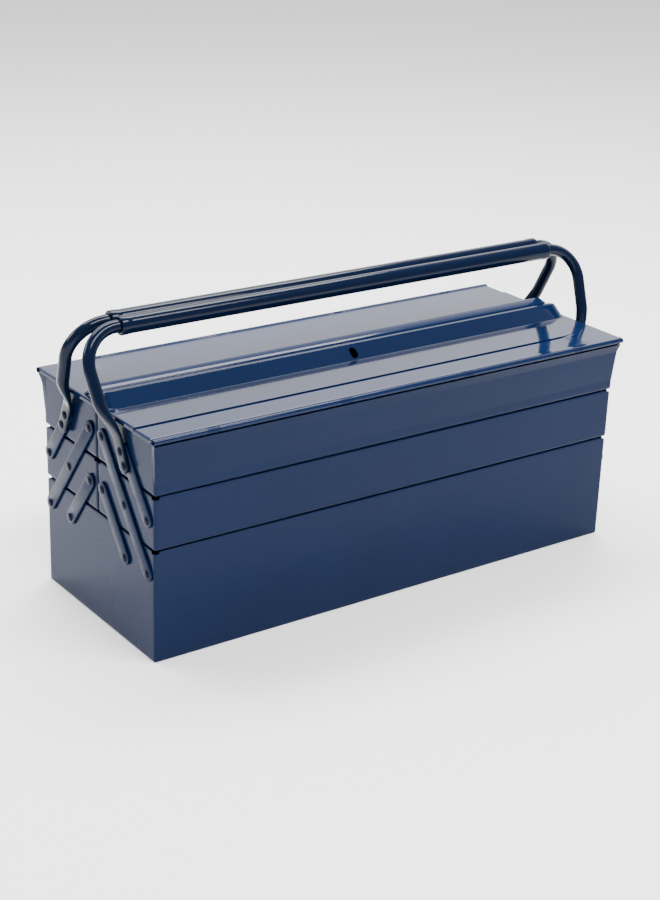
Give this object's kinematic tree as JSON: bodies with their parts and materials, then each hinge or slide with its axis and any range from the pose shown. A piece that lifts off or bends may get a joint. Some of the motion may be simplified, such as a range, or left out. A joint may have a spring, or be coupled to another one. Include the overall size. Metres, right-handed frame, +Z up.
{
  "type": "cantilever tool box",
  "caption": "Rectangular sheet-steel cantilever tool box: base, trays that swing out in tiers on riveted arms, hinged lids and a pair of carrying handles.",
  "frame": {"origin": "under the middle of the base, on the surface it stands on", "axes": "X along the box, -Y the front, +Z up"},
  "size_m": [0.5772, 0.2164, 0.2927],
  "materials": {
    "box_enamel": "gloss blue stoving enamel",
    "lid_enamel": "high gloss blue stoving enamel",
    "arm_enamel": "gloss blue stoving enamel",
    "rivet_enamel": "gloss dark blue enamel",
    "handle_enamel": "high gloss dark blue enamel on tube",
    "hinge_steel": "drawn wire"
  },
  "bodies": {
    "base": {"base_box": "box_enamel", "front_left_short_arm_base_rivet": "rivet_enamel", "front_left_long_arm_base_rivet": "rivet_enamel", "front_right_short_arm_base_rivet": "rivet_enamel", "front_right_long_arm_base_rivet": "rivet_enamel", "rear_left_short_arm_base_rivet": "rivet_enamel", "rear_left_long_arm_base_rivet": "rivet_enamel", "rear_right_short_arm_base_rivet": "rivet_enamel", "rear_right_long_arm_base_rivet": "rivet_enamel"},
    "front_long_arms": {"front_left_long_arm": "arm_enamel", "front_right_long_arm": "arm_enamel"},
    "front_short_arms": {"front_left_short_arm": "arm_enamel", "front_right_short_arm": "arm_enamel"},
    "front_middle_tray": {"front_middle_tray": "box_enamel", "front_left_short_arm_middle_rivet": "rivet_enamel", "front_left_long_arm_middle_rivet": "rivet_enamel", "front_left_outer_arm_middle_rivet": "rivet_enamel", "front_right_short_arm_middle_rivet": "rivet_enamel", "front_right_long_arm_middle_rivet": "rivet_enamel", "front_right_outer_arm_middle_rivet": "rivet_enamel"},
    "front_top_tray": {"front_top_tray": "box_enamel", "front_lid_hinge_pin": "hinge_steel", "front_left_long_arm_top_rivet": "rivet_enamel", "front_left_handle_pivot_rivet": "rivet_enamel", "front_right_long_arm_top_rivet": "rivet_enamel", "front_right_handle_pivot_rivet": "rivet_enamel"},
    "front_handle": {"front_handle_grip": "handle_enamel", "front_left_handle_leg": "handle_enamel", "front_left_outer_arm": "arm_enamel", "front_left_handle_fixing_rivet": "rivet_enamel", "front_right_handle_leg": "handle_enamel", "front_right_outer_arm": "arm_enamel", "front_right_handle_fixing_rivet": "rivet_enamel"},
    "front_lid": {"front_lid": "lid_enamel"},
    "rear_long_arms": {"rear_left_long_arm": "arm_enamel", "rear_right_long_arm": "arm_enamel"},
    "rear_short_arms": {"rear_left_short_arm": "arm_enamel", "rear_right_short_arm": "arm_enamel"},
    "rear_middle_tray": {"rear_middle_tray": "box_enamel", "rear_left_short_arm_middle_rivet": "rivet_enamel", "rear_left_long_arm_middle_rivet": "rivet_enamel", "rear_left_outer_arm_middle_rivet": "rivet_enamel", "rear_right_short_arm_middle_rivet": "rivet_enamel", "rear_right_long_arm_middle_rivet": "rivet_enamel", "rear_right_outer_arm_middle_rivet": "rivet_enamel"},
    "rear_top_tray": {"rear_top_tray": "box_enamel", "rear_lid_hinge_pin": "hinge_steel", "rear_left_long_arm_top_rivet": "rivet_enamel", "rear_left_handle_pivot_rivet": "rivet_enamel", "rear_right_long_arm_top_rivet": "rivet_enamel", "rear_right_handle_pivot_rivet": "rivet_enamel"},
    "rear_handle": {"rear_handle_grip": "handle_enamel", "rear_left_handle_leg": "handle_enamel", "rear_left_outer_arm": "arm_enamel", "rear_left_handle_fixing_rivet": "rivet_enamel", "rear_right_handle_leg": "handle_enamel", "rear_right_outer_arm": "arm_enamel", "rear_right_handle_fixing_rivet": "rivet_enamel"},
    "rear_lid": {"rear_lid": "lid_enamel"}
  },
  "joints": [
    {"name": "front_trays_open", "type": "hinge", "parent": "base", "child": "front_long_arms", "pos_m": [0, -0.0905, 0.084], "axis": [1, 0, 0], "range_deg": [0, 75]},
    {"name": "front_short_arms_swing", "type": "hinge", "parent": "base", "child": "front_short_arms", "pos_m": [0, -0.051, 0.084], "axis": [1, 0, 0], "range_deg": [0, 75]},
    {"name": "front_middle_tray_level", "type": "hinge", "parent": "front_long_arms", "child": "front_middle_tray", "pos_m": [0, -0.051, 0.135], "axis": [1, 0, 0], "range_deg": [-75, 0]},
    {"name": "front_top_tray_level", "type": "hinge", "parent": "front_long_arms", "child": "front_top_tray", "pos_m": [0, -0.0115, 0.186], "axis": [1, 0, 0], "range_deg": [-75, 0]},
    {"name": "front_handle_swing", "type": "hinge", "parent": "front_top_tray", "child": "front_handle", "pos_m": [0, -0.051, 0.186], "axis": [1, 0, 0], "range_deg": [0, 75]},
    {"name": "front_lid_hinge", "type": "hinge", "parent": "front_top_tray", "child": "front_lid", "pos_m": [0, -0.1056, 0.2123], "axis": [1, 0, 0], "range_deg": [0, 105]},
    {"name": "rear_trays_open", "type": "hinge", "parent": "base", "child": "rear_long_arms", "pos_m": [0, 0.0905, 0.084], "axis": [-1, 0, 0], "range_deg": [0, 75]},
    {"name": "rear_short_arms_swing", "type": "hinge", "parent": "base", "child": "rear_short_arms", "pos_m": [0, 0.051, 0.084], "axis": [-1, 0, 0], "range_deg": [0, 75]},
    {"name": "rear_middle_tray_level", "type": "hinge", "parent": "rear_long_arms", "child": "rear_middle_tray", "pos_m": [0, 0.051, 0.135], "axis": [-1, 0, 0], "range_deg": [-75, 0]},
    {"name": "rear_top_tray_level", "type": "hinge", "parent": "rear_long_arms", "child": "rear_top_tray", "pos_m": [0, 0.0115, 0.186], "axis": [-1, 0, 0], "range_deg": [-75, 0]},
    {"name": "rear_handle_swing", "type": "hinge", "parent": "rear_top_tray", "child": "rear_handle", "pos_m": [0, 0.051, 0.186], "axis": [-1, 0, 0], "range_deg": [0, 75]},
    {"name": "rear_lid_hinge", "type": "hinge", "parent": "rear_top_tray", "child": "rear_lid", "pos_m": [0, 0.1056, 0.2123], "axis": [-1, 0, 0], "range_deg": [0, 105]}
  ],
  "couplings": [
    {"joint": "front_short_arms_swing", "follows": "front_trays_open", "ratio": 1},
    {"joint": "front_middle_tray_level", "follows": "front_trays_open", "ratio": -1},
    {"joint": "front_top_tray_level", "follows": "front_trays_open", "ratio": -1},
    {"joint": "front_handle_swing", "follows": "front_trays_open", "ratio": 1},
    {"joint": "rear_short_arms_swing", "follows": "rear_trays_open", "ratio": 1},
    {"joint": "rear_middle_tray_level", "follows": "rear_trays_open", "ratio": -1},
    {"joint": "rear_top_tray_level", "follows": "rear_trays_open", "ratio": -1},
    {"joint": "rear_handle_swing", "follows": "rear_trays_open", "ratio": 1}
  ]
}
